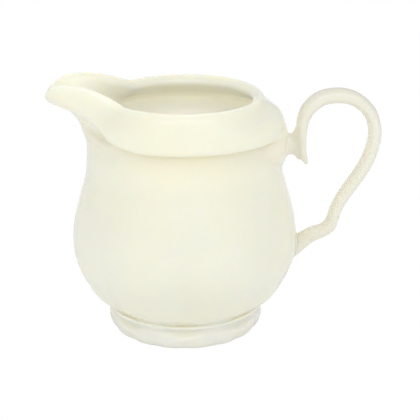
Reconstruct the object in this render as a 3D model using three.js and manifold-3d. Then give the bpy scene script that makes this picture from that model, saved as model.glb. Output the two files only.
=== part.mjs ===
// Porcelain cream jug: lobed belly on a scalloped foot, neck, rolled collar with a
// pouring spout, and a crook handle with a thumb scroll. Millimetres, +Z up.
// The handle is on +X and the spout on -X. The foot rests on z = 0.

import * as THREE from "three";
import Module from "manifold-3d";
import { mergeVertices } from "three/addons/utils/BufferGeometryUtils.js";

// ---- driving dimensions -------------------------------------------------------

const AXIS_X = -11.0;          // jug axis; it centres the whole jug on x = 0

const FOOT_TOP = 6.2;          // seam between foot ring and moulding
const CREASE_Z = 9.6;          // seam between moulding and belly, a sharp crease
const NECK_Z = 62.0;           // seam between belly and neck
const COLLAR_Z = 75.5;         // seam between neck and collar
const ROLL_Z = 86.0;           // seam between collar and rolled rim
const SPOUT_X = -21.5;         // seam between collar and spout, from the jug axis

const LOBES = 8;               // broad lobes round the belly
const GROOVE = 0.9;            // depth of the grooves between the lobes
const WAVES = 16;              // small waves round the foot's lower edge
const WAVE_DEPTH = 0.6;
const CUSP_DEPTH = 1.0;        // how far the moulding is cut back above a groove

const FLOOR_Z = 13.0;          // top of the inside floor
const GAP = 0.3;               // slip-filled clearance at curved joints

const SPOUT_SPAN = 40;         // half angle of the spout at the crest, degrees
const EDGE_SPAN = 73;          // half angle of the lift of the collar's lower edge
const KEEL_SPAN = 32;          // half angle of the pointed underside
const LIP_SPAN = 44;           // half angle of the lips beside the spout
const LIP_RISE = 5.3;          // rise of the lips on each side of the spout

const PAD_FACE = 38.5;         // how far the pad stands from the jug axis
const STUB_X = 41.2;           // seam between handle neck and thumb scroll
const STUB_Z = 70.8;           // height of the handle neck's centre line
const SCROLL_TOP = 80.0;       // seam from thumb scroll and grip to crook and bend
const BEND_X = 57.0;           // seam between crook and bend
const GRIP_FOOT = 43.0;        // seam between grip and elbow
const ELBOW_X = 51.0;          // seam between elbow and lower strut, clear of scroll and grip
const STRAP_SIDES = 16;        // corners of one handle section
const FAR = 120;               // beyond every surface of the jug

const GLAZED = { color: 0xece8d4, roughness: 0.1, metalness: 0 };
const FOOT_GLAZE = { color: 0xe9e4cf, roughness: 0.12, metalness: 0 };

// Belly outside from the crease to the neck seam, [radius, height].
const BELLY_OUTSIDE = [
  [29.9, CREASE_Z],
  [34.6, 14.2],
  [38.6, 20.6],
  [41.6, 27.8],
  [42.55, 35.5],
  [41.75, 44.0],
  [39.5, 52.0],
  [37.4, 58.5],
  [36.6, NECK_Z],
];

// Neck outside from the belly seam to the collar seam, [radius, height].
const NECK_OUTSIDE = [
  [36.6, NECK_Z],
  [36.4, 64.5],
  [36.0, 67.5],
  [35.3, 70.5],
  [34.8, 73.3],
  [34.9, COLLAR_Z],
];
const NECK_INSIDE = 32.9;      // radius at the collar seam
const THROAT_Z = 66.0;         // where the neck starts to swell towards the spout
const THROAT = 2.3;            // swelling at the collar seam

// Belly inside from the neck seam down to the floor.
const BELLY_INSIDE = [
  [33.4, NECK_Z],
  [36.3, 52.0],
  [38.9, 43.0],
  [39.5, 35.0],
  [37.6, 25.0],
  [32.0, 17.6],
  [22.0, 14.0],
  [10.0, FLOOR_Z],
];

// Collar and rim section, outside first, over the crest and down the inside.
// Half length along the handle plane, half width across it and z away from the
// spout, tipX and tipZ in the spout's middle plane, and crest: 0 where the point
// follows the lower edge, 1 where it follows the lips.
const COLLAR_SECTION = [
  { length: 34.9, width: 34.9, z: COLLAR_Z, tipX: -37.2, tipZ: COLLAR_Z, crest: 0.0 },
  { length: 35.1, width: 35.1, z: 75.62, tipX: -38.8, tipZ: 79.4, crest: 0.0 },
  { length: 35.7, width: 35.7, z: 75.75, tipX: -40.2, tipZ: 81.3, crest: 0.0 },
  { length: 36.5, width: 36.5, z: 76.1, tipX: -42.6, tipZ: 83.9, crest: 0.0 },
  { length: 37.0, width: 37.0, z: 76.8, tipX: -45.8, tipZ: 85.4, crest: 0.0 },
  { length: 37.15, width: 37.15, z: 78.2, tipX: -48.4, tipZ: 85.9, crest: 0.12 },
  { length: 36.9, width: 37.05, z: 80.2, tipX: -50.0, tipZ: 86.5, crest: 0.28 },
  { length: 36.1, width: 36.7, z: 82.0, tipX: -50.6, tipZ: 87.2, crest: 0.42 },
  { length: 34.6, width: 36.2, z: 83.6, tipX: -50.8, tipZ: 88.0, crest: 0.56 },
  { length: 32.5, width: 35.6, z: 85.2, tipX: -50.7, tipZ: 88.8, crest: 0.7 },
  { length: 30.7, width: 35.0, z: 86.7, tipX: -50.2, tipZ: 89.4, crest: 0.84 },
  { length: 29.7, width: 34.3, z: 87.9, tipX: -49.6, tipZ: 89.8, crest: 0.94 },
  { length: 29.1, width: 33.4, z: 88.8, tipX: -48.9, tipZ: 89.9, crest: 1.0 },
  { length: 27.9, width: 32.2, z: 89.5, tipX: -48.0, tipZ: 89.8, crest: 1.0 },
  { length: 26.4, width: 30.6, z: 88.8, tipX: -47.0, tipZ: 89.4, crest: 1.0 },
  { length: 25.2, width: 29.4, z: 87.9, tipX: -45.8, tipZ: 88.8, crest: 1.0 },
  { length: 25.2, width: 29.0, z: 86.6, tipX: -44.0, tipZ: 87.8, crest: 0.95 },
  { length: 28.2, width: 30.2, z: 84.4, tipX: -41.2, tipZ: 85.9, crest: 0.85 },
  { length: 31.9, width: 32.3, z: 82.3, tipX: -38.0, tipZ: 83.0, crest: 0.7 },
  { length: 33.2, width: 33.2, z: 80.3, tipX: -35.8, tipZ: 80.3, crest: 0.5 },
  { length: 33.0, width: 33.0, z: 78.0, tipX: -34.4, tipZ: 78.0, crest: 0.3 },
  { length: 32.9, width: 32.9, z: COLLAR_Z, tipX: -33.6, tipZ: COLLAR_Z, crest: 0.0 },
];

// Handle pad rows, [height, how far the pad stands out, half angle in degrees].
const PAD_ROWS = [
  [62.6, 0.25, 16],
  [64.6, 0.8, 25],
  [67.2, 1.4, 31],
  [70.0, 1.7, 34],
  [72.6, 1.5, 34],
  [75.2, 1.1, 32],
];
const PAD_BASE = 36.8;         // radius that the pad stands out from

// Handle centre line from the spur's tip to the belly: [x, z, thickness, width],
// x from the jug axis, thickness in the handle's plane, width across it.
const HANDLE_LINE = [
  [45.3, 63.3, 1.7, 3.0],
  [43.9, 65.9, 3.3, 5.6],
  [42.9, 69.0, 4.0, 7.6],
  [42.2, 72.4, 4.6, 8.6],
  [42.2, 75.9, 5.4, 9.0],
  [42.9, 79.3, 5.9, 9.0],
  [44.6, 82.7, 5.7, 9.0],
  [47.2, 85.6, 5.3, 9.0],
  [50.3, 87.8, 5.3, 9.0],
  [53.8, 88.8, 5.3, 9.0],
  [57.4, 89.0, 5.3, 9.0],
  [61.0, 88.2, 5.2, 8.8],
  [64.1, 86.6, 5.1, 8.6],
  [66.7, 84.4, 5.0, 8.4],
  [68.7, 81.7, 4.9, 8.2],
  [69.8, 78.7, 4.8, 8.2],
  [70.4, 75.4, 4.8, 8.2],
  [70.2, 72.0, 4.8, 8.2],
  [69.5, 68.8, 4.8, 8.1],
  [68.6, 65.8, 4.8, 8.0],
  [67.2, 62.6, 4.8, 8.0],
  [65.3, 59.1, 4.8, 7.9],
  [63.0, 55.6, 4.7, 7.8],
  [60.8, 52.3, 4.6, 7.7],
  [59.0, 49.3, 4.6, 7.6],
  [57.6, 46.5, 4.5, 7.5],
  [56.5, 43.6, 4.5, 7.5],
  [55.8, 40.9, 4.5, 7.4],
  [54.6, 38.3, 4.8, 7.4],
  [51.9, 36.4, 4.6, 7.3],
  [48.4, 35.0, 5.2, 7.2],
  [45.5, 33.2, 5.6, 7.4],
  [43.1, 31.3, 6.8, 8.0],
  [41.2, 29.6, 8.4, 9.0],
  [38.6, 27.6, 10.0, 10.0],
];

const wasm = await Module();
wasm.setup();

// ---- small helpers --------------------------------------------------------------

const clamp01 = (v) => Math.min(Math.max(v, 0), 1);
const mix = (a, b, t) => a + (b - a) * t;
const bell = (angle, span) => Math.cos((Math.PI / 2) * clamp01(angle / span)) ** 2;

// Smooth curve through [r, z] knots, as count + 1 points.
function curve(knots, count) {
  const spline = new THREE.SplineCurve(knots.map(([r, z]) => new THREE.Vector2(r, z)));
  return spline.getPoints(count).map((p) => [p.x, p.y]);
}

// Angle in degrees between an azimuth and the spout's direction.
function fromSpout(azimuth) {
  return THREE.MathUtils.radToDeg(Math.abs(azimuth - Math.PI));
}

// 1 on the middle of a lobe and 0 in a groove; one groove lies in the handle plane.
function lobe(azimuth, count, softness) {
  const s = Math.sin((count / 2) * azimuth);
  return Math.sqrt((s * s + softness) / (1 + softness));
}

function evenAzimuths(count) {
  return Array.from({ length: count }, (_, i) => (i * 2 * Math.PI) / count);
}

// Azimuths once round that crowd together towards the spout.
function spoutAzimuths(half) {
  const list = [];
  for (let i = 0; i < 2 * half; i += 1) {
    const share = Math.abs(i - half) / half;
    list.push(Math.PI + Math.sign(i - half) * Math.PI * share ** 1.3);
  }
  return list;
}

function meshFrom(name, geometry, look) {
  const mesh = new THREE.Mesh(geometry, new THREE.MeshStandardMaterial(look));
  mesh.name = name;
  return mesh;
}

function geometryFrom(points, triangles) {
  const geometry = new THREE.BufferGeometry();
  const flat = new Float32Array(points.flat());
  geometry.setAttribute("position", new THREE.BufferAttribute(flat, 3));
  geometry.setIndex(triangles.flat());
  geometry.computeVertexNormals();
  return geometry;
}

// Joins rings of points [x, y, z] into side faces. id gives a point's number.
function sideTriangles(rings, steps, id) {
  const triangles = [];
  for (let i = 0; i < rings; i += 1) {
    for (let j = 0; j < steps; j += 1) {
      const corners = [id(i, j), id(i + 1, j), id(i + 1, j + 1), id(i, j + 1)];
      triangles.push([corners[0], corners[1], corners[2]]);
      triangles.push([corners[0], corners[2], corners[3]]);
    }
  }
  return triangles.filter(([a, b, c]) => a !== b && b !== c && c !== a);
}

// Solid of one closed section carried round the jug axis.
function ringSolid(azimuths, loopAt) {
  const loops = azimuths.map(loopAt);
  const size = loops[0].length;
  const id = (i, j) => (i % azimuths.length) * size + (j % size);
  return geometryFrom(loops.flat(), sideTriangles(azimuths.length, size, id));
}

// Solid of a section that starts and ends on the jug axis.
function bowlSolid(azimuths, lineAt) {
  const lines = azimuths.map(lineAt);
  const size = lines[0].length;
  const id = (i, j) => (j === 0 || j === size - 1 ? j : (i % azimuths.length) * size + j);
  return geometryFrom(lines.flat(), sideTriangles(azimuths.length, size - 1, id));
}

function onAzimuth(azimuth, r, z) {
  return [r * Math.cos(azimuth), r * Math.sin(azimuth), z];
}

// ---- booleans -------------------------------------------------------------------

function toManifold(geometry) {
  const bare = geometry.index ? geometry.toNonIndexed() : geometry.clone();
  bare.deleteAttribute("normal");
  bare.deleteAttribute("uv");
  const merged = mergeVertices(bare);
  return new wasm.Manifold(
    new wasm.Mesh({
      numProp: 3,
      vertProperties: merged.attributes.position.array,
      triVerts: new Uint32Array(merged.index.array),
    }),
  );
}

function fromManifold(solid) {
  const mesh = solid.getMesh();
  const geometry = new THREE.BufferGeometry();
  const positions = new THREE.BufferAttribute(mesh.vertProperties, 3);
  geometry.setAttribute("position", positions);
  geometry.setIndex(Array.from(mesh.triVerts));
  geometry.computeVertexNormals();
  return geometry;
}

// Large box between two corners, used to keep one side of a seam.
function block([x0, y0, z0], [x1, y1, z1]) {
  const box = new THREE.BoxGeometry(x1 - x0, y1 - y0, z1 - z0);
  box.translate((x0 + x1) / 2, (y0 + y1) / 2, (z0 + z1) / 2);
  return toManifold(box);
}

// ---- foot -----------------------------------------------------------------------

function footRing() {
  const loopAt = (azimuth) => {
    const wave = WAVE_DEPTH * (1 - lobe(azimuth, WAVES, 0.05));
    const section = [
      [25.2, 0],
      [27.3 - wave, 0],
      [28.3 - wave, 0.9],
      [29.1 - wave * 0.5, 3.2],
      [29.6, FOOT_TOP],
      [24.2, FOOT_TOP],
      [24.2, 1.6],
    ];
    return section.map(([r, z]) => onAzimuth(azimuth, r, z));
  };
  return meshFrom("foot_ring", ringSolid(evenAzimuths(96), loopAt), FOOT_GLAZE);
}

function footMoulding() {
  const loopAt = (azimuth) => {
    const cusp = CUSP_DEPTH * (1 - lobe(azimuth, LOBES, 0.02));
    const section = [
      [29.3 - cusp, FOOT_TOP],
      [29.8 - cusp, 7.4],
      [29.2 - cusp * 0.5, 8.2],
      [29.9, 8.9],
      [29.8, CREASE_Z],
      [23.6, CREASE_Z],
      [23.6, FOOT_TOP],
    ];
    return section.map(([r, z]) => onAzimuth(azimuth, r, z));
  };
  return meshFrom("foot_moulding", ringSolid(evenAzimuths(96), loopAt), FOOT_GLAZE);
}

// ---- belly and neck -------------------------------------------------------------

// Groove depth at a height: full on the belly, fading out at the neck.
function grooveDepth(z) {
  return GROOVE * clamp01((70 - z) / 26) * clamp01((z - 4) / 8);
}

function lobedRadius(azimuth, r, z) {
  return r - grooveDepth(z) * (1 - lobe(azimuth, LOBES, 0.03));
}

function bellyBowl() {
  const outside = curve(BELLY_OUTSIDE, 15);
  const inside = curve(BELLY_INSIDE, 11);
  const lineAt = (azimuth) => [
    [0, 0, CREASE_Z],
    ...outside.map(([r, z]) => onAzimuth(azimuth, lobedRadius(azimuth, r, z), z)),
    ...inside.map(([r, z]) => onAzimuth(azimuth, r, z)),
    [0, 0, FLOOR_Z],
  ];
  return meshFrom("belly_bowl", bowlSolid(evenAzimuths(80), lineAt), GLAZED);
}

// Shift of the neck towards the spout, growing towards the collar.
function throat(azimuth, z) {
  const rise = clamp01((z - THROAT_Z) / (COLLAR_Z - THROAT_Z));
  return THROAT * rise ** 1.5 * bell(fromSpout(azimuth), KEEL_SPAN);
}

function shifted([x, y, z], shift) {
  return [x - shift, y, z];
}

function neckWall() {
  const outside = ([r, z], azimuth) => {
    const point = onAzimuth(azimuth, lobedRadius(azimuth, r, z), z);
    return shifted(point, throat(azimuth, z));
  };
  const loopAt = (azimuth) => [
    ...NECK_OUTSIDE.map((knot) => outside(knot, azimuth)),
    shifted(onAzimuth(azimuth, NECK_INSIDE, COLLAR_Z), 0.3 * throat(azimuth, COLLAR_Z)),
    onAzimuth(azimuth, 33.0, 70.0),
    onAzimuth(azimuth, BELLY_INSIDE[0][0], NECK_Z),
  ];
  return meshFrom("neck_wall", ringSolid(evenAzimuths(80), loopAt), GLAZED);
}

// ---- collar, rolled rim and spout -------------------------------------------------

// Rise of the two lips beside the spout, nothing at the tip.
function lipRise(angle) {
  const share = clamp01(angle / LIP_SPAN) ** 0.7;
  return LIP_RISE * Math.sin(Math.PI * share) ** mix(1.2, 2, share);
}

// Where a section point goes at an azimuth once the spout is pulled out.
function collarPoint(azimuth, { length, width, z, tipX, tipZ, crest }) {
  const angle = fromSpout(azimuth);
  const keel = clamp01(1 - (Math.hypot(angle, 3) - 3) / KEEL_SPAN) ** 1.4;
  const pull = mix(keel, bell(angle, SPOUT_SPAN), crest);
  const lift = mix(bell(angle, EDGE_SPAN), bell(angle, SPOUT_SPAN), crest);
  const pinch = Math.sin(Math.PI * clamp01(angle / 50)) ** 2;
  const blunt = 2.2 * (1 - Math.exp(-angle / 4)) * bell(angle, 42);
  const side = Math.sign(Math.sin(azimuth)) * crest * blunt;
  const narrow = 1 - 0.2 * pinch * (1 - crest);
  const shift = z === COLLAR_Z ? bell(angle, KEEL_SPAN) : pull;
  return [
    length * Math.cos(azimuth) + (tipX + length) * shift,
    width * Math.sin(azimuth) * (z === COLLAR_Z ? 1 : narrow) + side,
    z + (tipZ - z) * lift + crest * lipRise(angle),
  ];
}

function collarPieces() {
  const loopAt = (azimuth) => COLLAR_SECTION.map((knot) => collarPoint(azimuth, knot));
  const whole = toManifold(ringSolid(spoutAzimuths(54), loopAt));
  const spoutSide = block([-FAR, -FAR, 0], [SPOUT_X, FAR, FAR]);
  const bodySide = block([SPOUT_X, -FAR, 0], [FAR, FAR, FAR]);
  const below = block([-FAR, -FAR, 0], [FAR, FAR, ROLL_Z]);
  const above = block([-FAR, -FAR, ROLL_Z], [FAR, FAR, FAR]);
  const round = whole.intersect(bodySide);
  return [
    meshFrom("pouring_spout", fromManifold(whole.intersect(spoutSide)), GLAZED),
    meshFrom("collar_band", fromManifold(round.intersect(below)), GLAZED),
    meshFrom("rolled_rim", fromManifold(round.intersect(above)), GLAZED),
  ];
}

// ---- handle -----------------------------------------------------------------------

// Radius of the neck's outside at a height, without the lobes.
function neckRadius(z) {
  const above = NECK_OUTSIDE.findIndex((knot) => knot[1] >= z);
  const [[r0, z0], [r1, z1]] = NECK_OUTSIDE.slice(above - 1, above + 1);
  return mix(r0, r1, (z - z0) / (z1 - z0));
}

// Raised pad on the neck that carries the handle's upper end.
function handlePad() {
  const columns = 12;
  const loops = [];
  for (let i = 0; i <= columns; i += 1) {
    const share = (2 * i) / columns - 1;
    const edge = 1 - Math.abs(share) ** 6;
    const outer = [];
    const inner = [];
    for (const [z, out, halfAngle] of PAD_ROWS) {
      const azimuth = share * THREE.MathUtils.degToRad(halfAngle);
      outer.push(onAzimuth(azimuth, PAD_BASE + out * (0.35 + 0.65 * edge), z));
      inner.unshift(onAzimuth(azimuth, neckRadius(z) + GAP, z));
    }
    loops.push([...outer, ...inner]);
  }
  const size = 2 * PAD_ROWS.length;
  const id = (i, j) => i * size + (j % size);
  const caps = [];
  for (let j = 0; j < PAD_ROWS.length - 1; j += 1) {
    const back = size - 1 - j;
    caps.push([j, j + 1, back - 1], [j, back - 1, back]);
    const [a, b, c, d] = [j, j + 1, back - 1, back].map((k) => columns * size + k);
    caps.push([a, c, b], [a, d, c]);
  }
  const sides = sideTriangles(columns, size, id);
  return meshFrom("handle_pad", geometryFrom(loops.flat(), [...sides, ...caps]), GLAZED);
}

// Short neck between the pad and the thumb scroll, waisted like a cove.
function handleNeck() {
  const stations = [
    [PAD_FACE + GAP, 4.0, 3.8],
    [39.9, 3.5, 3.3],
    [STUB_X, 3.5, 3.4],
  ];
  const loops = stations.map(([x, tall, wide]) => ellipseLoop(x, STUB_Z, tall, wide));
  return meshFrom("handle_neck", tubeSolid(loops), GLAZED);
}

// Ellipse in a plane of constant x.
function ellipseLoop(x, z, tall, wide) {
  return Array.from({ length: STRAP_SIDES }, (_, i) => {
    const turn = (i * 2 * Math.PI) / STRAP_SIDES;
    return [x, wide * Math.cos(turn), z + tall * Math.sin(turn)];
  });
}

// Closed solid through equal loops, with flat fans at both ends.
function tubeSolid(loops) {
  const size = loops[0].length;
  const last = (loops.length - 1) * size;
  const id = (i, j) => i * size + (j % size);
  const triangles = sideTriangles(loops.length - 1, size, id).map(([a, b, c]) => [a, c, b]);
  for (let j = 1; j < size - 1; j += 1) {
    triangles.push([0, j + 1, j]);
    triangles.push([last, last + j, last + j + 1]);
  }
  return geometryFrom(loops.flat(), triangles);
}

// The whole handle as one sweep of oval sections along its centre line.
function handleSweep() {
  const line = new THREE.CatmullRomCurve3(
    HANDLE_LINE.map(([x, z]) => new THREE.Vector3(x, 0, z)),
    false,
    "centripetal",
  );
  const count = 2 * (HANDLE_LINE.length - 1);
  const loops = [];
  for (let i = 0; i <= count; i += 1) {
    const centre = line.getPoint(i / count);
    const along = line.getTangent(i / count);
    const knot = Math.min(Math.floor(i / 2), HANDLE_LINE.length - 2);
    const share = i / 2 - knot;
    const thick = mix(HANDLE_LINE[knot][2], HANDLE_LINE[knot + 1][2], share);
    const wide = mix(HANDLE_LINE[knot][3], HANDLE_LINE[knot + 1][3], share);
    const loop = [];
    for (let k = 0; k < STRAP_SIDES; k += 1) {
      const turn = (k * 2 * Math.PI) / STRAP_SIDES;
      const out = (thick / 2) * Math.sin(turn);
      const across = (wide / 2) * Math.cos(turn);
      loop.push([centre.x - along.z * out, across, centre.z + along.x * out]);
    }
    loops.push(loop);
  }
  return tubeSolid(loops);
}

// The belly's outside with the slip clearance added, as one solid.
function bellyWithGap() {
  const outside = curve(BELLY_OUTSIDE, 15).filter(([, z]) => z > FLOOR_Z);
  const lineAt = (azimuth) => [
    [0, 0, FLOOR_Z],
    ...outside.map(([r, z]) => onAzimuth(azimuth, lobedRadius(azimuth, r, z) + GAP, z)),
    [0, 0, NECK_Z],
  ];
  return toManifold(bowlSolid(evenAzimuths(80), lineAt));
}

// The sweep parted at flat seams into the handle's natural stretches.
function handlePieces() {
  const whole = toManifold(handleSweep());
  const part = ([x0, z0], [x1, z1]) =>
    whole.intersect(block([x0, -FAR, z0], [x1, FAR, z1]));
  const strut = part([0, 0], [ELBOW_X, GRIP_FOOT]);
  const pieces = {
    thumb_scroll: part([STUB_X, GRIP_FOOT], [ELBOW_X, SCROLL_TOP]),
    handle_crook: part([0, SCROLL_TOP], [BEND_X, FAR]),
    handle_bend: part([BEND_X, SCROLL_TOP], [FAR, FAR]),
    handle_grip: part([ELBOW_X, GRIP_FOOT], [FAR, SCROLL_TOP]),
    handle_elbow: part([ELBOW_X, 0], [FAR, GRIP_FOOT]),
    lower_strut: strut.subtract(bellyWithGap()),
  };
  return Object.entries(pieces).map(([name, solid]) => meshFrom(name, fromManifold(solid), GLAZED));
}

// ---- assembly -----------------------------------------------------------------------

const group = new THREE.Group();
group.name = "cream_jug";
group.position.x = AXIS_X;
group.add(footRing(), footMoulding(), bellyBowl(), neckWall(), ...collarPieces());
group.add(handlePad(), handleNeck(), ...handlePieces());

export default group;
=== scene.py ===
"""Looks of a porcelain cream jug: a lobed body with a rolled rim, pulled spout and
scalloped foot, and a crook handle, under a warm ivory glaze.
Shapes are worked in millimetres from the jug's own axis, then put in the frame."""

import math

import bpy
import numpy as np
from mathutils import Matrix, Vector


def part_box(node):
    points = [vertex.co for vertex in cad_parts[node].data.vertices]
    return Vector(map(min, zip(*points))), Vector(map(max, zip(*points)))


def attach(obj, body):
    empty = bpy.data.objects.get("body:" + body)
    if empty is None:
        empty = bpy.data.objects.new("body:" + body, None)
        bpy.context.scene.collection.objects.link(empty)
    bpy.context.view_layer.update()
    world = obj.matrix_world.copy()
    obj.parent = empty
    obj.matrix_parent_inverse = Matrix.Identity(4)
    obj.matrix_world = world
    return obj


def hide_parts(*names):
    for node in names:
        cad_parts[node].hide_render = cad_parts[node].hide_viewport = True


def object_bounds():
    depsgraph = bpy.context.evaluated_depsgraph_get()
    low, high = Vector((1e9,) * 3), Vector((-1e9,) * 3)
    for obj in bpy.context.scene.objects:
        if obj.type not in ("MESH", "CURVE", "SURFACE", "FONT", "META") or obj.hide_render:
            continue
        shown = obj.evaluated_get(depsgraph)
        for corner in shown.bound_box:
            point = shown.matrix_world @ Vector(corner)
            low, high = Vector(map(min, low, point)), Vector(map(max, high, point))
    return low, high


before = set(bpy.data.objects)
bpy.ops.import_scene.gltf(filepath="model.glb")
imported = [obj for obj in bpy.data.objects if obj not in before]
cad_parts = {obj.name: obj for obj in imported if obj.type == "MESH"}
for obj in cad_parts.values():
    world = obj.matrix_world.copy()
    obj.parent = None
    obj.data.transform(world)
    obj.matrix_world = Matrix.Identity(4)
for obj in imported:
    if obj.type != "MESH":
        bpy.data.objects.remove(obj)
CAD_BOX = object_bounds()

MM = 0.001


def cad_box(node):
    """Lowest and highest corner of a CAD node, in millimetres."""
    low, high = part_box(node)
    return np.array(low) / MM, np.array(high) / MM


# ---- places taken from the frame ------------------------------------------------

BELLY = cad_box("belly_bowl")
AXIS_X = (BELLY[0][0] + BELLY[1][0]) / 2      # the jug's own axis
CREASE_Z = BELLY[0][2]                        # moulding to belly
COLLAR_Z = cad_box("neck_wall")[1][2]         # neck to collar
RIM_TOP = cad_box("rolled_rim")[1][2]

# ---- the body's forms, in millimetres and degrees ---------------------------------

LOBES = 8              # broad lobes round the belly
GROOVE = 0.9           # depth of the grooves between them
LOBE_SOFTNESS = 0.03
GROOVE_TOP = 70        # the grooves fade out over the 26 mm below this height
GROOVE_FADE = 26
GROOVE_BOTTOM = 4      # and over the 8 mm above this one
GROOVE_START = 8

WAVES = 16             # small waves round the foot's lower edge
WAVE_DEPTH = 0.6
WAVE_SOFTNESS = 0.05
DIP_SPAN = 13          # how far the foot's cove spreads from a groove
EDGE_HEIGHT = (7.0, 5.2)      # foot's upper edge, on a lobe and in a groove
COVE_DEPTH = (0.05, 1.6)      # cove above it
CREASE_RADIUS = (29.45, 28.8)
BEAD_FOOT = 8.1               # where the cove ends and the bead starts

THROAT_Z = 66.0        # where the neck starts to swell towards the spout
THROAT = 2.3           # swelling at the collar seam
SPOUT_SPAN = 40        # half angle of the spout at the crest
EDGE_SPAN = 73         # half angle of the lift of the collar's lower edge
KEEL_SPAN = 32         # half angle of the pointed underside
KEEL_ROUND = 3         # half angle over which the keel is rounded off
KEEL_POWER = 1.4
LIP_SPAN = 44          # half angle of the lips beside the spout
LIP_RISE = 5.3         # rise of the lips beside the spout
PINCH_SPAN = 50        # half angle within which the spout's sides are drawn in
PINCH = 0.2            # by this share of the width at most
BLUNT = 2.2            # half width of the spout's blunt tip
BLUNT_ROUND = 4
BLUNT_SPAN = 42

# Radius and height of rings up the outside and down the inside.
UNDERSIDE = [
    (0.0, 9.1), (8.0, 9.1), (17.0, 9.0), (22.4, 8.4), (24.1, 5.6), (24.5, 1.6),
    (24.8, 0.5), (25.3, 0.0), (26.2, 0.0),
]
BELLY_START = [(29.4, CREASE_Z, CREASE_Z + 0.4), (30.6, 11.0, 11.0)]
BELLY_OUTSIDE = [
    (34.6, 14.2), (38.6, 20.6), (41.6, 27.8), (42.55, 35.5), (41.75, 44.0),
    (39.5, 52.0), (37.4, 58.5), (36.6, 62.0),
]
NECK_OUTSIDE = [(36.4, 64.5), (36.0, 67.5), (35.3, 70.5), (34.8, 73.3)]
BODY_INSIDE = [
    (33.0, 70.0), (33.4, 62.0), (36.3, 52.0), (38.9, 43.0), (39.5, 35.0),
    (37.6, 25.0), (32.0, 17.6), (22.0, 14.0), (10.0, 13.0), (0.0, 13.0),
]

# Collar and rim section, outside first, over the crest and down the inside: half
# length along the handle plane, half width across it and z away from the spout,
# x and z in the spout's middle plane, and 0 where the point follows the lower edge
# to 1 where it follows the lips.
COLLAR_SECTION = [
    (34.9, 34.9, COLLAR_Z, -37.2, COLLAR_Z, 0.0),
    (35.1, 35.1, 75.62, -38.8, 79.4, 0.0),
    (35.7, 35.7, 75.75, -40.2, 81.3, 0.0),
    (36.5, 36.5, 76.1, -42.6, 83.9, 0.0),
    (37.0, 37.0, 76.8, -45.8, 85.4, 0.0),
    (37.15, 37.15, 78.2, -48.4, 85.9, 0.12),
    (36.9, 37.05, 80.2, -50.0, 86.5, 0.28),
    (36.1, 36.7, 82.0, -50.6, 87.2, 0.42),
    (34.6, 36.2, 83.6, -50.8, 88.0, 0.56),
    (32.5, 35.6, 85.2, -50.7, 88.8, 0.7),
    (30.7, 35.0, 86.7, -50.2, 89.4, 0.84),
    (29.7, 34.3, 87.9, -49.6, 89.8, 0.94),
    (29.1, 33.4, 88.8, -48.9, 89.9, 1.0),
    (27.9, 32.2, RIM_TOP, -48.0, 89.8, 1.0),
    (26.4, 30.6, 88.8, -47.0, 89.4, 1.0),
    (25.2, 29.4, 87.9, -45.8, 88.8, 1.0),
    (25.2, 29.0, 86.6, -44.0, 87.8, 0.95),
    (28.2, 30.2, 84.4, -41.2, 85.9, 0.85),
    (31.9, 32.3, 82.3, -38.0, 83.0, 0.7),
    (33.2, 33.2, 80.3, -35.8, 80.3, 0.5),
    (33.0, 33.0, 78.0, -34.4, 78.0, 0.3),
    (32.9, 32.9, COLLAR_Z, -33.6, COLLAR_Z, 0.0),
]

# Swellings of the body under the handle's two ends: height, radius, half angle.
PAD_ROWS = [
    (60.0, 33.5, 10), (62.0, 35.6, 15), (64.0, 36.8, 22), (66.0, 37.6, 29),
    (68.5, 38.2, 35), (71.0, 38.5, 38.5), (73.5, 38.5, 40), (75.5, 38.3, 40),
    (77.0, 37.9, 37), (78.2, 37.4, 31), (79.2, 36.5, 22), (80.0, 35.0, 12),
]
ROOT_ROWS = [
    (21.0, 35.5, 5), (23.5, 38.8, 7), (26.0, 41.4, 8.5), (28.5, 43.0, 9.5),
    (31.0, 43.6, 9.5), (33.5, 43.2, 9), (36.0, 41.8, 8), (38.5, 39.5, 6),
]
PAD_FILLET = 0.7
ROOT_FILLET = 1.8
BOSS_FALL = 7          # how far a swelling's radius falls towards its sides
BOSS_POWER = 2.6       # higher for a flatter top
HANDLE_SIDE = 0.9      # half angle of the body's handle side, radians

# ---- the handle's forms -----------------------------------------------------------

# Centre line from the spur's tip to the belly: x from the jug axis, z, thickness in
# the handle's plane and width across it.
HANDLE_LINE = [
    (45.3, 63.3, 1.4, 2.6), (44.5, 65.2, 2.5, 4.8), (43.8, 67.6, 3.1, 6.6),
    (43.5, 70.4, 3.4, 8.0), (43.4, 73.3, 3.6, 8.7), (43.4, 76.2, 4.0, 9.0),
    (43.7, 79.3, 4.5, 9.0), (44.9, 82.7, 5.0, 9.0), (47.2, 85.6, 5.3, 9.0),
    (50.3, 87.8, 5.3, 9.0), (53.8, 88.7, 5.3, 9.0), (57.4, 88.86, 5.3, 9.0),
    (61.0, 88.2, 5.2, 8.8), (64.1, 86.6, 5.1, 8.6), (66.7, 84.4, 5.0, 8.4),
    (68.7, 81.7, 4.9, 8.2), (69.8, 78.7, 4.8, 8.2), (70.38, 75.4, 4.8, 8.2),
    (70.2, 72.0, 4.8, 8.2), (69.5, 68.8, 4.8, 8.1), (68.6, 65.8, 4.8, 8.0),
    (67.2, 62.6, 4.8, 8.0), (65.3, 59.1, 4.8, 7.9), (63.0, 55.6, 4.7, 7.8),
    (60.8, 52.3, 4.6, 7.7), (59.0, 49.3, 4.6, 7.6), (57.6, 46.5, 4.5, 7.5),
    (56.5, 43.6, 4.5, 7.5), (55.8, 40.9, 4.5, 7.4), (54.6, 38.3, 4.8, 7.4),
    (51.9, 36.4, 4.6, 7.3), (48.4, 35.0, 5.2, 7.2), (45.5, 33.2, 5.6, 7.4),
    (43.1, 31.5, 6.3, 7.8), (41.2, 30.1, 7.0, 8.4), (39.2, 28.9, 7.4, 9.0),
]
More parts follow.
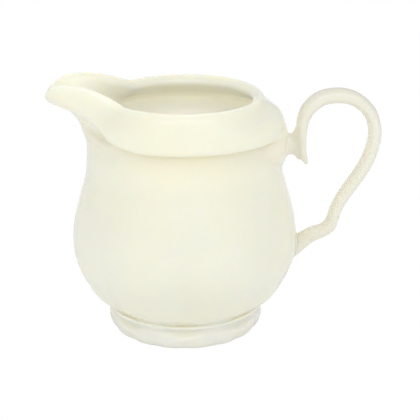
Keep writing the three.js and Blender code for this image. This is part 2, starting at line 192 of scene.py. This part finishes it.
TIP_CAPS = ((0.35, 0.62), (0.75, 0.42))     # size and distance of the spur's end rings
BAND_POWER = 0.84      # 1 for an ellipse, less for a squarer band

# Web between the pad and the strap: x, top, bottom, half width.
STUB_STATIONS = [
    (36.6, 76.2, 64.9, 5.2), (37.6, 75.4, 65.5, 4.4), (38.4, 74.7, 66.2, 3.5),
    (39.2, 74.4, 66.5, 2.8), (40.0, 74.8, 66.5, 2.6), (40.7, 75.9, 66.2, 2.6),
    (41.4, 78.0, 65.5, 2.8), (42.1, 80.6, 64.6, 3.0), (42.9, 82.0, 64.4, 3.1),
]
FILLET_AT = (41.4, 72.5)       # middle of the joint between web and strap
FILLET_HALF = (2.4, 7.5)       # half width and half height of the joint
FILLET_LEAST = 0.02            # weights below this are left out

# ---- how finely things are made ---------------------------------------------------

AROUND = 480           # azimuth steps round the body
STEPS = 5              # rings between two knots
STRAP_STEPS = 6
STUB_STEPS = 4
STRAP_SIDES = 48       # corners of one handle section
SKIN_VOXEL = 0.3       # grain of the handle's fused skin, mm
EVEN_PASSES = 4        # smoothing of the whole skin
FILLET_PASSES = 14     # smoothing of the joint

# ---- glaze colours with painted light and shade, and how deep light gets in it, in metres ---

WHITE = (1, 1, 1)
BODY_TONES = ((0.935, 0.903, 0.765), (0.95, 0.923, 0.8))
# Painted light: the foot's tones are paler than the body's, to stand in for light on it.
FOOT_PAINTED_LIGHT_TONES = ((0.975, 0.953, 0.825), (0.985, 0.968, 0.855))
# Painted light: the lining's tones are paler, to stand in for light inside the jug.
LINING_PAINTED_LIGHT_TONES = ((0.97, 0.94, 0.82), (0.98, 0.955, 0.845))
# Painted shade: the handle's tones are a shade darker than the body's.
HANDLE_SHADED_TONES = ((0.89, 0.866, 0.74), (0.905, 0.886, 0.772))
# Painted shade: tints that darken the colour in hollows, a softer one on the foot.
HOLLOW_SHADE_TINT = (0.87, 0.85, 0.77)
FOOT_HOLLOW_SHADE_TINT = (0.93, 0.91, 0.86)
# Painted shade: tint for the band under the collar.
UNDER_COLLAR_SHADE_TINT = (0.94, 0.935, 0.92)
HOLLOW_SHADE_REACH = 0.007
BODY_DEPTH = 0.0035
FOOT_DEPTH = 0.001
LINING_DEPTH = 0.008
HANDLE_DEPTH = 0.0012
HANDLE_TRANSLUCENCY = 0.15

# Where the painted layers fade: the paler lining in rings past the crest, the paler foot in
# millimetres of height, the painted shade under the collar in millimetres below the seam and
# rings above it.
LINING_START = 8
LINING_FADE = 14.0
FOOT_LAYER_TOP = 14
FOOT_LAYER_FADE = 4
UNDER_COLLAR_SHADE_FADE = 6.0
UNDER_COLLAR_SHADE_RINGS = 12.0

# ---- studio, in metres and watts --------------------------------------------------

WORLD_STRENGTH = 0.48
FLOOR_HALF = 3.0
FLOOR_WHITE = (0.95, 0.95, 0.95, 1)
LIGHTS_AIM_Z = 0.05
# Name, place, diameter, power, and whether the glaze mirrors it.
LIGHTS = [
    ("key_left", (-0.68, -0.82, 1.2), 1.0, 2.6, True),
    ("key_right", (0.68, -0.82, 1.2), 1.0, 2.5, True),
    ("top_front", (0, -0.7, 1.4), 1.0, 2.6, True),
    ("low_left", (-0.98, -0.75, 0.16), 1.2, 3.9, False),
    ("low_right", (0.98, -0.75, 0.16), 1.2, 3.9, False),
    ("back_all", (0, 1.1, 0.7), 1.2, 4.5, False),
    ("back_body", (0, 1.15, 0.4), 1.0, 8.5, False),
]
FLAGGED_LIGHT = "back_body"    # shines on the body only


# ---- small helpers --------------------------------------------------------------

def clamp01(value):
    return np.clip(value, 0.0, 1.0)


def mix(a, b, t):
    return a + (b - a) * t


def bell(angle, span):
    """1 at angle 0, falling smoothly to 0 at span."""
    return np.cos(math.pi / 2 * clamp01(angle / span)) ** 2


def lobe(azimuth, count, softness):
    """1 on the middle of a lobe, 0 in a groove; one groove is in the handle plane."""
    s = np.sin(count / 2 * azimuth)
    return np.sqrt((s * s + softness) / (1 + softness))


def from_spout(azimuth):
    """Angle from the spout's middle plane, in degrees."""
    return np.degrees(np.abs(azimuth - math.pi))


def full_turn(steps):
    return np.arange(steps) * 2 * math.pi / steps


def catmull(knots, steps):
    """Centripetal curve through knots (K, ..., D), steps samples per span."""
    knots = np.asarray(knots, float)
    before = 2 * knots[:1] - knots[1:2]
    after = 2 * knots[-1:] - knots[-2:-1]
    ahead = np.concatenate([before, knots, after])
    gaps = np.linalg.norm(np.diff(ahead, axis=0), axis=-1, keepdims=True)
    gaps = np.sqrt(np.maximum(gaps, 1e-6))
    out = []
    for k in range(len(knots) - 1):
        p0, p1, p2, p3 = ahead[k:k + 4]
        d0, d1, d2 = gaps[k:k + 3]
        m1 = (p1 - p0) / d0 - (p2 - p0) / (d0 + d1) + (p2 - p1) / d1
        m2 = (p2 - p1) / d1 - (p3 - p1) / (d1 + d2) + (p3 - p2) / d2
        m1, m2 = m1 * d1, m2 * d1
        for i in range(steps):
            t = i / steps
            a = 2 * t ** 3 - 3 * t ** 2 + 1
            b = t ** 3 - 2 * t ** 2 + t
            c = -2 * t ** 3 + 3 * t ** 2
            d = t ** 3 - t ** 2
            out.append(a * p1 + b * m1 + c * p2 + d * m2)
    out.append(knots[-1])
    return np.array(out)


def new_piece(name, points, faces, material, slot, *nodes):
    """Mesh object from points in jug-axis millimetres, riding on the one body and
    kept inside the CAD's own box."""
    mesh = bpy.data.meshes.new(name)
    points = (np.asarray(points) + [AXIS_X, 0, 0]) * MM
    points = np.clip(points, CAD_BOX[0], CAD_BOX[1])
    mesh.from_pydata(points.tolist(), [], faces)
    mesh.update()
    mesh.polygons.foreach_set("use_smooth", [True] * len(mesh.polygons))
    piece = bpy.data.objects.new(name, mesh)
    bpy.context.scene.collection.objects.link(piece)
    mesh.materials.append(material)
    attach(piece, "root")
    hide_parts(*nodes)
    return piece


# ---- body -------------------------------------------------------------------------

def lobed_radius(azimuth, r, z):
    below_top = clamp01((GROOVE_TOP - z) / GROOVE_FADE)
    above_foot = clamp01((z - GROOVE_BOTTOM) / GROOVE_START)
    return r - GROOVE * below_top * above_foot * (1 - lobe(azimuth, LOBES, LOBE_SOFTNESS))


def throat(azimuth, z):
    """Shift of the neck towards the spout, growing towards the collar."""
    rise = clamp01((z - THROAT_Z) / (COLLAR_Z - THROAT_Z))
    return THROAT * rise ** 1.5 * bell(from_spout(azimuth), KEEL_SPAN)


def on_azimuth(azimuth, r, z):
    r = np.broadcast_to(r, azimuth.shape)
    z = np.broadcast_to(z, azimuth.shape)
    return np.stack([r * np.cos(azimuth), r * np.sin(azimuth), z], axis=-1)


def dip(azimuth):
    """1 in line with a groove, falling away smoothly to 0 on a lobe's middle."""
    period = 2 * math.pi / LOBES
    offset = np.degrees(((azimuth / period + 0.5) % 1.0 - 0.5) * period)
    return np.exp(-(offset / DIP_SPAN) ** 2)


def foot_knots(azimuth):
    """Waved foot ring, the cove above it, the bead and the crease below the belly."""
    wave = WAVE_DEPTH * (1 - lobe(azimuth, WAVES, WAVE_SOFTNESS))
    cusp = dip(azimuth)
    edge = mix(*EDGE_HEIGHT, cusp)
    cove = mix(*COVE_DEPTH, cusp)
    cove_foot = edge + 0.2
    profile = [
        (27.0 - wave, 0.0),
        (27.4 - wave, 0.08),
        (28.2 - wave, 0.9),
        (29.0 - wave * 0.6, 2.7),
        (29.35 - wave * 0.1, edge - 1.3),
        (29.3, edge - 0.4),
        (29.15 - cove * 0.25, cove_foot),
        (29.2 - cove * 0.85, mix(cove_foot, BEAD_FOOT, 0.35)),
        (29.2 - cove, mix(cove_foot, BEAD_FOOT, 0.7)),
        (29.25 - cove * 0.6, BEAD_FOOT),
        (29.5, 8.6),
        (29.62, 9.05),
        (29.55, 9.45),
        (mix(*CREASE_RADIUS, cusp), CREASE_Z + 0.15),
    ]
    return [on_azimuth(azimuth, r, z) for r, z in profile]


def body_knots(azimuth):
    """Lobed belly and neck up to the collar's seam, leaning towards the spout."""
    belly = [
        on_azimuth(azimuth, lobed_radius(azimuth, r, lobe_z), z)
        for r, lobe_z, z in BELLY_START
    ]
    for r, z in BELLY_OUTSIDE + NECK_OUTSIDE:
        ring = on_azimuth(azimuth, lobed_radius(azimuth, r, z), z)
        ring[:, 0] -= throat(azimuth, z)
        belly.append(ring)
    return belly


def lip_rise(angle):
    share = clamp01(angle / LIP_SPAN) ** 0.7
    return LIP_RISE * np.maximum(np.sin(math.pi * share), 0) ** mix(1.2, 2.0, share)


def collar_point(azimuth, knot):
    """Where a section point goes at each azimuth once the spout is pulled out."""
    length, width, z, tip_x, tip_z, crest = knot
    angle = from_spout(azimuth)
    keel = clamp01(1 - (np.hypot(angle, KEEL_ROUND) - KEEL_ROUND) / KEEL_SPAN) ** KEEL_POWER
    at_seam = z == COLLAR_Z
    pull = bell(angle, KEEL_SPAN) if at_seam else mix(keel, bell(angle, SPOUT_SPAN), crest)
    lift = mix(bell(angle, EDGE_SPAN), bell(angle, SPOUT_SPAN), crest)
    pinch = np.sin(math.pi * clamp01(angle / PINCH_SPAN)) ** 2
    narrow = 1.0 if at_seam else 1 - PINCH * pinch * (1 - crest)
    blunt = BLUNT * (1 - np.exp(-angle / BLUNT_ROUND)) * bell(angle, BLUNT_SPAN)
    side = np.sign(np.sin(azimuth)) * crest * blunt
    x = length * np.cos(azimuth) + (tip_x + length) * pull
    y = width * np.sin(azimuth) * narrow + side
    return np.stack([x, y, z + (tip_z - z) * lift + crest * lip_rise(angle)], axis=-1)


def body_surface():
    """Rings of points from the middle of the underside, up the outside, over the
    rim and down to the middle of the inside floor."""
    azimuth = full_turn(AROUND)
    knots = [on_azimuth(azimuth, r, z) for r, z in UNDERSIDE]
    knots += foot_knots(azimuth)
    knots += body_knots(azimuth)
    knots += [collar_point(azimuth, k) for k in COLLAR_SECTION]
    knots += [on_azimuth(azimuth, r, z) for r, z in BODY_INSIDE]
    return catmull(np.array(knots), STEPS)


def smooth_max(a, b, soft):
    """The larger of two radii, with a fillet about soft wide where they cross."""
    share = clamp01(0.5 + (a - b) / (2 * soft))
    return mix(b, a, share) + soft * share * (1 - share)


def swelling(azimuth, z, rows):
    """Radius of a rounded boss on the handle side, 0 where it doesn't reach."""
    height, radius, half_angle = np.array(rows).T
    reach = np.radians(np.interp(z, height, half_angle, left=0, right=0))
    across = clamp01(np.abs(azimuth) / np.maximum(reach, 1e-3))
    return np.interp(z, height, radius) - BOSS_FALL * (1 - np.sqrt(1 - across ** BOSS_POWER))


def crest_ring(rings):
    """Number of the ring that lies on the top of the rim."""
    return int(np.argmax(rings[:, 0, 2]))


def with_swelling(rings, rows, soft):
    """The same rings with a boss raised on the outside of the handle side."""
    x, y, z = rings[..., 0], rings[..., 1], rings[..., 2]
    r = np.hypot(x, y)
    azimuth = np.arctan2(y, x)
    outside = np.arange(len(rings))[:, None] < crest_ring(rings)
    in_height = (z > rows[0][0]) & (z < rows[-1][0])
    near = outside & in_height & (np.abs(azimuth) < HANDLE_SIDE)
    wanted = smooth_max(swelling(azimuth, z, rows), r, soft)
    grow = np.where(near, wanted / np.maximum(r, 1e-6), 1.0)
    return np.stack([x * grow, y * grow, z], axis=-1)


def skin_of_rings(rings):
    """Points and faces of a closed skin whose first and last rings are points."""
    count = len(rings)
    points = [rings[0][0]]
    points += [p for ring in rings[1:-1] for p in ring]
    points.append(rings[-1][0])
    last = len(points) - 1

    def at(i, j):
        return 1 + (i - 1) * AROUND + j % AROUND

    faces = []
    for j in range(AROUND):
        faces.append((0, at(1, j + 1), at(1, j)))
        faces.append((last, at(count - 2, j), at(count - 2, j + 1)))
    for i in range(1, count - 2):
        for j in range(AROUND):
            faces.append((at(i, j), at(i, j + 1), at(i + 1, j + 1), at(i + 1, j)))
    return points, faces


def paint(piece, name, rings, values):
    """Store one number per point of the body, for its glaze to read."""
    values = np.broadcast_to(values, rings.shape[:2])
    flat = np.concatenate([values[0, :1], values[1:-1].ravel(), values[-1, :1]])
    layer = piece.data.attributes.new(name, "FLOAT", "POINT")
    layer.data.foreach_set("value", flat.astype(np.float32))


def paint_layers(piece, rings):
    """Mark the lining and the foot for their painted light, and the band of painted shade under
    the collar, each fading out.
    """
    crest = crest_ring(rings)
    step = np.arange(len(rings))
    height = rings[..., 2]
    outside = step < crest
    seam = int(np.argmax(outside & (height[:, 0] >= COLLAR_Z - 0.01)))
    lining = clamp01((step - crest - LINING_START) / LINING_FADE)
    foot = outside[:, None] * clamp01((FOOT_LAYER_TOP - height) / FOOT_LAYER_FADE)
    # Painted shade under the collar: strongest at the seam, fading down the neck and up the
    # collar's underside.
    below_seam = (step <= seam)[:, None] * np.exp((height - COLLAR_Z) / UNDER_COLLAR_SHADE_FADE)
    above_seam = ((step > seam) & outside) * clamp01(1 - (step - seam) / UNDER_COLLAR_SHADE_RINGS)
    paint(piece, "lining", rings, lining[:, None])
    paint(piece, "foot", rings, foot)
    paint(piece, "under_collar_shade", rings, below_seam + above_seam[:, None])


def jug_body(material):
    rings = with_swelling(body_surface(), PAD_ROWS, PAD_FILLET)
    rings = with_swelling(rings, ROOT_ROWS, ROOT_FILLET)
    points, faces = skin_of_rings(rings)
    nodes = ["foot_ring", "foot_moulding", "belly_bowl", "neck_wall"]
    nodes += ["collar_band", "rolled_rim", "pouring_spout", "handle_pad"]
    piece = new_piece("jug_body", points, faces, material, "glazed_body", *nodes)
    paint_layers(piece, rings)
    return piece


# ---- handle -----------------------------------------------------------------------

def tube_faces(rings, sides):
    faces = [tuple(range(sides))[::-1]]
    for i in range(rings - 1):
        for j in range(sides):
            a, b = i * sides + j, i * sides + (j + 1) % sides
            faces.append((a, b, b + sides, a + sides))
    faces.append(tuple((rings - 1) * sides + j for j in range(sides)))
    return faces


def section(turn, thick, wide):
    """A band's section: an ellipse squared off a little."""
    out = np.sign(np.sin(turn)) * np.abs(np.sin(turn)) ** BAND_POWER * thick / 2
    across = np.sign(np.cos(turn)) * np.abs(np.cos(turn)) ** BAND_POWER * wide / 2
    return out, across


def strap_points():
    """Sections square to the centre line, after two small ones that close the tip."""
    line = catmull(np.array(HANDLE_LINE), STRAP_STEPS)
    along = np.gradient(line[:, :2], axis=0)
    along /= np.linalg.norm(along, axis=1, keepdims=True)
    turn = full_turn(STRAP_SIDES)
    points = []
    for (x, z, thick, wide), (tx, tz) in zip(line, along):
        out, across = section(turn, thick, wide)
        points.append(np.stack([x - tz * out, across, z + tx * out], axis=-1))
    tip = points[0].mean(axis=0)
    caps = []
    for share, ahead in TIP_CAPS:
        offset = np.array([-along[0][0], 0, -along[0][1]]) * ahead
        caps.append(tip + (points[0] - tip) * share + offset)
    return np.concatenate(caps + points)


def stub_points():
    """Short waisted web between the pad and the strap, spread at both ends."""
    turn = full_turn(STRAP_SIDES)
    points = []
    for x, top, bottom, wide in catmull(np.array(STUB_STATIONS), STUB_STEPS):
        z = (top + bottom) / 2 + (top - bottom) / 2 * np.sin(turn)
        points.append(np.stack([np.full_like(turn, x), wide * np.cos(turn), z], axis=-1))
    return np.concatenate(points)


def smoothing(piece, name, passes):
    modifier = piece.modifiers.new(name, "SMOOTH")
    modifier.factor = 0.5
    modifier.iterations = passes
    return modifier


def apply_modifiers(piece):
    """Puts the modifiers' result into the piece's own mesh."""
    graph = bpy.context.evaluated_depsgraph_get()
    mesh = bpy.data.meshes.new_from_object(piece.evaluated_get(graph), depsgraph=graph)
    old = piece.data
    piece.modifiers.clear()
    piece.data = mesh
    bpy.data.meshes.remove(old)
    mesh.name = piece.name
    mesh.polygons.foreach_set("use_smooth", [True] * len(mesh.polygons))


def fuse(piece):
    """One closed skin round the strap and the web, with the steps smoothed out."""
    skin = piece.modifiers.new("one_skin", "REMESH")
    skin.mode = "VOXEL"
    skin.voxel_size = SKIN_VOXEL * MM
    skin.use_smooth_shade = True
    smoothing(piece, "even", EVEN_PASSES)
    apply_modifiers(piece)


def fillet_joint(piece):
    """Smooth the skin more where the web meets the strap."""
    fillet = piece.vertex_groups.new(name="fillet")
    for vertex in piece.data.vertices:
        x, y, z = np.array(vertex.co) / MM - [AXIS_X, 0, 0]
        across = (x - FILLET_AT[0]) / FILLET_HALF[0]
        up = (z - FILLET_AT[1]) / FILLET_HALF[1]
        near = math.exp(-(across ** 2 + up ** 4))
        if near > FILLET_LEAST:
            fillet.add([vertex.index], near, "REPLACE")
    smoothing(piece, "round_off", FILLET_PASSES).vertex_group = "fillet"
    apply_modifiers(piece)


def crook_handle(material):
    """Strap and stub fused into one skin, with fillets where they meet."""
    strap, stub = strap_points(), stub_points()
    faces = [face[::-1] for face in tube_faces(len(strap) // STRAP_SIDES, STRAP_SIDES)]
    stub_faces = tube_faces(len(stub) // STRAP_SIDES, STRAP_SIDES)
    faces += [tuple(corner + len(strap) for corner in face) for face in stub_faces]
    nodes = ["handle_neck", "thumb_scroll", "handle_crook", "handle_bend"]
    nodes += ["handle_grip", "handle_elbow", "lower_strut"]
    points = np.concatenate([strap, stub])
    piece = new_piece("crook_handle", points, faces, material, "glazed_body", *nodes)
    fuse(piece)
    fillet_joint(piece)
    return piece


# ---- glaze ------------------------------------------------------------------------

def noise(tree, scale, detail=3.0):
    place = tree.nodes.new("ShaderNodeTexCoord")
    node = tree.nodes.new("ShaderNodeTexNoise")
    node.inputs["Scale"].default_value = scale
    node.inputs["Detail"].default_value = detail
    tree.links.new(place.outputs["Object"], node.inputs["Vector"])
    return node.outputs["Fac"]


def painted(tree, layer):
    node = tree.nodes.new("ShaderNodeAttribute")
    node.attribute_name = layer
    return node.outputs["Fac"]


def span(tree, source, low, high):
    """source from 0 to 1 carried over to low to high; each is a number or a socket."""
    node = tree.nodes.new("ShaderNodeMapRange")
    for socket, value in (("To Min", low), ("To Max", high)):
        if isinstance(value, float):
            node.inputs[socket].default_value = value
        else:
            tree.links.new(value, node.inputs[socket])
    tree.links.new(source, node.inputs["Value"])
    return node.outputs["Result"]


def ramp(tree, source, *stops):
    node = tree.nodes.new("ShaderNodeValToRGB")
    tree.links.new(source, node.inputs["Fac"])
    for element, (position, colour) in zip(node.color_ramp.elements, stops):
        element.position = position
        element.color = (*colour, 1)
    return node.outputs["Color"]


def mixed(tree, kind, amount, first, second):
    node = tree.nodes.new("ShaderNodeMix")
    node.data_type = "RGBA"
    node.blend_type = kind
    if isinstance(amount, float):
        node.inputs["Factor"].default_value = amount
    else:
        tree.links.new(amount, node.inputs["Factor"])
    tree.links.new(first, node.inputs["A"])
    tree.links.new(second, node.inputs["B"])
    return node.outputs["Result"]


def drifting(tree, drift, tones):
    """Colour that wanders between a warm and a pale tone."""
    warm, pale = tones
    return ramp(tree, drift, (0.3, warm), (0.7, pale))


def porcelain(name, translucency):
    """Porcelain under a clear glaze with faint ripples and an uneven polish."""
    material = bpy.data.materials.new(name)
    material.use_nodes = True
    tree = material.node_tree
    shader = tree.nodes["Principled BSDF"]
    shader.inputs["IOR"].default_value = 1.5
    shader.inputs["Subsurface Weight"].default_value = translucency
    shader.inputs["Subsurface Radius"].default_value = (1.0, 0.88, 0.68)
    tree.links.new(span(tree, noise(tree, 120.0), 0.14, 0.22), shader.inputs["Roughness"])
    ripple = tree.nodes.new("ShaderNodeBump")
    ripple.inputs["Strength"].default_value = 0.12
    ripple.inputs["Distance"].default_value = 0.0006
    tree.links.new(noise(tree, 95.0, 1.0), ripple.inputs["Height"])
    tree.links.new(ripple.outputs["Normal"], shader.inputs["Normal"])
    return material, tree, shader


def body_glaze():
    """The colour is painted paler in the lining and on the foot as painted light, and darker in
    hollows and under the collar as painted shade; the glaze lets light in to a different depth
    in each."""
    material, tree, shader = porcelain("ivory_glaze", 1.0)
    lining, foot = painted(tree, "lining"), painted(tree, "foot")
    drift = noise(tree, 38.0)
    outer = drifting(tree, drift, BODY_TONES)
    # Painted light: paler tones on the foot and in the lining.
    outer = mixed(tree, "MIX", foot, outer, drifting(tree, drift, FOOT_PAINTED_LIGHT_TONES))
    glaze = mixed(tree, "MIX", lining, outer, drifting(tree, drift, LINING_PAINTED_LIGHT_TONES))

    # Painted shade: the colour is darkened in hollows found by ambient occlusion, less on the
    # foot.
    hollows = tree.nodes.new("ShaderNodeAmbientOcclusion")
    hollows.inputs["Distance"].default_value = HOLLOW_SHADE_REACH
    hollows.only_local = True
    hollows.samples = 8
    shade_in_hollows = ramp(tree, hollows.outputs["AO"], (0.4, HOLLOW_SHADE_TINT), (0.95, WHITE))
    softer_shade_on_foot = ramp(tree, hollows.outputs["AO"], (0.4, FOOT_HOLLOW_SHADE_TINT), (0.8, WHITE))
    glaze = mixed(tree, "MULTIPLY", 1.0, glaze, mixed(tree, "MIX", foot, shade_in_hollows, softer_shade_on_foot))
    # Painted shade: a darker band under the collar.
    under_collar_shade = ramp(tree, painted(tree, "under_collar_shade"), (0.0, WHITE), (1.0, UNDER_COLLAR_SHADE_TINT))
    glaze = mixed(tree, "MULTIPLY", 1.0, glaze, under_collar_shade)
    tree.links.new(glaze, shader.inputs["Base Color"])

    outside_depth = span(tree, foot, BODY_DEPTH, FOOT_DEPTH)
    depth = span(tree, lining, outside_depth, LINING_DEPTH)
    tree.links.new(depth, shader.inputs["Subsurface Scale"])
    return material


def handle_glaze():
    # Painted shade: the handle's glaze takes darker tones than the body's.
    material, tree, shader = porcelain("ivory_glaze_on_handle", HANDLE_TRANSLUCENCY)
    shader.inputs["Subsurface Scale"].default_value = HANDLE_DEPTH
    tree.links.new(drifting(tree, noise(tree, 38.0), HANDLE_SHADED_TONES), shader.inputs["Base Color"])
    return material


# ---- studio -----------------------------------------------------------------------

def floor():
    """Plain floor, shown to the camera as even white and to all else as it is."""
    mesh = bpy.data.meshes.new("studio_floor")
    corners = [(-1, -1), (1, -1), (1, 1), (-1, 1)]
    corners = [(x * FLOOR_HALF, y * FLOOR_HALF, 0) for x, y in corners]
    mesh.from_pydata(corners, [], [(0, 1, 2, 3)])
    piece = bpy.data.objects.new("studio_floor", mesh)
    bpy.context.scene.collection.objects.link(piece)
    material = bpy.data.materials.new("studio_white")
    material.use_nodes = True
    nodes, links = material.node_tree.nodes, material.node_tree.links
    shader = nodes["Principled BSDF"]
    shader.inputs["Base Color"].default_value = FLOOR_WHITE
    shader.inputs["Roughness"].default_value = 0.9
    lit = nodes.new("ShaderNodeEmission")
    seen = nodes.new("ShaderNodeLightPath")
    either = nodes.new("ShaderNodeMixShader")
    links.new(seen.outputs["Is Camera Ray"], either.inputs["Fac"])
    links.new(shader.outputs["BSDF"], either.inputs[1])
    links.new(lit.outputs["Emission"], either.inputs[2])
    links.new(either.outputs["Shader"], nodes["Material Output"].inputs["Surface"])
    mesh.materials.append(material)


def area_light(name, place, target, size, power, mirrored):
    data = bpy.data.lights.new(name, "AREA")
    data.shape = "DISK"
    data.size = size
    data.energy = power
    lamp = bpy.data.objects.new(name, data)
    bpy.context.scene.collection.objects.link(lamp)
    lamp.location = place
    lamp.rotation_euler = (target - Vector(place)).to_track_quat("-Z", "Y").to_euler()
    lamp.visible_glossy = mirrored
    return lamp


def studio(body):
    """Even white surroundings and soft round lights, one of them flagged off all
    but the body."""
    world = bpy.data.worlds.new("studio")
    bpy.context.scene.world = world
    world.use_nodes = True
    background = world.node_tree.nodes["Background"]
    background.inputs["Color"].default_value = (1, 1, 1, 1)
    background.inputs["Strength"].default_value = WORLD_STRENGTH
    centre = Vector((AXIS_X * MM, 0, LIGHTS_AIM_Z))
    flagged = bpy.data.collections.new("lit_from_behind")
    flagged.objects.link(body)
    for name, place, size, power, mirrored in LIGHTS:
        lamp = area_light(name, place, centre, size, power, mirrored)
        if name == FLAGGED_LIGHT:
            lamp.light_linking.receiver_collection = flagged
    bpy.context.scene.view_settings.view_transform = "Standard"


def camera():
    """Level framing from 19 degrees above, 440 mm away, square to the handle plane."""
    distance, elevation = 0.440, math.radians(19)
    target = Vector((-0.0015, 0, 0.04455))
    away = Vector((0, -math.cos(elevation), math.sin(elevation)))
    data = bpy.data.cameras.new("camera")
    data.sensor_width = 36
    data.lens = 99.8
    data.clip_start = 0.01
    piece = bpy.data.objects.new("camera", data)
    bpy.context.scene.collection.objects.link(piece)
    piece.location = target + away * distance
    piece.rotation_euler = (-away).to_track_quat("-Z", "Y").to_euler()
    bpy.context.scene.camera = piece


camera()
floor()
jug = jug_body(body_glaze())
crook_handle(handle_glaze())
studio(jug)
